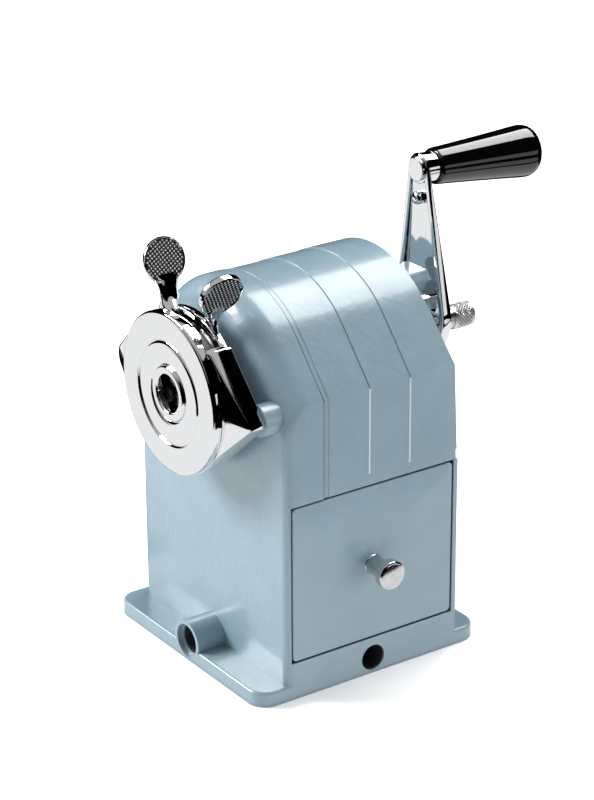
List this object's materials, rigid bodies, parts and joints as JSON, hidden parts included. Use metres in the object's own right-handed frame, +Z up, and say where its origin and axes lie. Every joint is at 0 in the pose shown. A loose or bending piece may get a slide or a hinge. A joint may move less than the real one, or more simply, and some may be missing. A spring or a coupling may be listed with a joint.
{
  "type": "pencil sharpener",
  "caption": "Desk pencil sharpener with a hand crank, an arched metal body on a flanged base, a sprung chuck with finger levers and a drawer for shavings.",
  "frame": {"origin": "centre of the underside of the flanged base, on the base face", "axes": "+Z up, -Y towards the chuck where the pencil goes in, +Y towards the crank, +X towards the drawer"},
  "size_m": [0.0825, 0.1262, 0.1319],
  "materials": {
    "painted_casting": "satin blue-grey powder coat with a fine orange-peel grain",
    "rubber_mat": "matte",
    "bronze": "sintered",
    "machined_steel": "machined",
    "zinc_plated": "zinc plated",
    "tray_sheet": "satin grey",
    "chrome_plate": "mirror",
    "spring_wire": "drawn wire",
    "black_gloss": "mirror gloss"
  },
  "bodies": {
    "housing": {"base_front": "painted_casting", "base_rear": "painted_casting", "front_shell": "painted_casting", "bay_walls": "painted_casting", "screw_lugs": "painted_casting", "base_mat": "rubber_mat", "top_cover": "painted_casting", "cover_screws": "zinc_plated", "front_bush": "bronze", "rear_bush": "bronze", "ring_gear": "machined_steel", "ring_gear_studs": "zinc_plated"},
    "drawer": {"drawer_front": "painted_casting", "drawer_tray": "tray_sheet", "drawer_knob": "machined_steel", "drawer_knob_screw": "zinc_plated"},
    "chuck": {"chuck_body": "chrome_plate", "chuck_face_disc": "chrome_plate", "nose_collar": "machined_steel", "jaw_guide": "machined_steel", "fixed_lever": "chrome_plate", "guide_rod_left": "machined_steel", "guide_rod_right": "machined_steel", "rod_clips": "zinc_plated", "rod_springs": "spring_wire"},
    "jaw_cam": {"cam_ring": "machined_steel", "moving_lever": "chrome_plate", "lever_spring": "spring_wire"},
    "upper_jaw": {"jaw_top": "machined_steel"},
    "left_jaw": {"jaw_left": "machined_steel"},
    "right_jaw": {"jaw_right": "machined_steel"},
    "crank": {"crank_arm": "chrome_plate", "crank_shaft": "machined_steel", "cutter_frame": "machined_steel", "grip_spindle": "chrome_plate", "arm_rivet": "chrome_plate"},
    "handle": {"grip": "black_gloss"},
    "milling_cutter": {"cutter": "machined_steel", "cutter_pinion": "machined_steel", "cutter_axle": "machined_steel"},
    "adjuster": {"adjuster_knob": "machined_steel", "point_stop": "machined_steel"}
  },
  "joints": [
    {"name": "drawer_slide", "type": "slide", "parent": "housing", "child": "drawer", "axis": [1, 0, 0], "range_m": [0, 0.05]},
    {"name": "crank_turn", "type": "hinge", "parent": "housing", "child": "crank", "pos_m": [0, 0.032, 0.0814], "axis": [0, 1, 0], "continuous": true},
    {"name": "handle_spin", "type": "hinge", "parent": "crank", "child": "handle", "pos_m": [-0.00416, 0.06458, 0.12537], "axis": [0.0046, 0.9988, -0.0486], "continuous": true},
    {"name": "cutter_spin", "type": "hinge", "parent": "crank", "child": "milling_cutter", "pos_m": [0, 0.002, 0.0902], "axis": [0, 1, 0], "continuous": true},
    {"name": "point_adjust", "type": "hinge", "parent": "crank", "child": "adjuster", "pos_m": [0, 0.052, 0.0814], "axis": [0, 1, 0], "range_deg": [0, 360]},
    {"name": "chuck_pull", "type": "slide", "parent": "housing", "child": "chuck", "axis": [0, -1, 0], "range_m": [0, 0.026], "stiffness_N_per_m": 60, "springref_m": -0.03, "deforming": ["rod_springs"]},
    {"name": "lever_squeeze", "type": "hinge", "parent": "chuck", "child": "jaw_cam", "pos_m": [0, -0.035, 0.0814], "axis": [0, 1, 0], "range_deg": [0, 25], "stiffness_Nm_per_rad": 0.15, "springref_deg": -20.05, "deforming": ["lever_spring"]},
    {"name": "upper_jaw_slide", "type": "slide", "parent": "chuck", "child": "upper_jaw", "axis": [0, 0, 1], "range_m": [0, 0.0037]},
    {"name": "left_jaw_slide", "type": "slide", "parent": "chuck", "child": "left_jaw", "axis": [-0.866, 0, -0.5], "range_m": [0, 0.0037]},
    {"name": "right_jaw_slide", "type": "slide", "parent": "chuck", "child": "right_jaw", "axis": [0.866, 0, -0.5], "range_m": [0, 0.0037]}
  ],
  "couplings": [
    {"joint": "cutter_spin", "follows": "crank_turn", "ratio": -3.2},
    {"joint": "upper_jaw_slide", "follows": "lever_squeeze", "m_per_rad": 0.0084798},
    {"joint": "left_jaw_slide", "follows": "lever_squeeze", "m_per_rad": 0.0084798},
    {"joint": "right_jaw_slide", "follows": "lever_squeeze", "m_per_rad": 0.0084798}
  ]
}
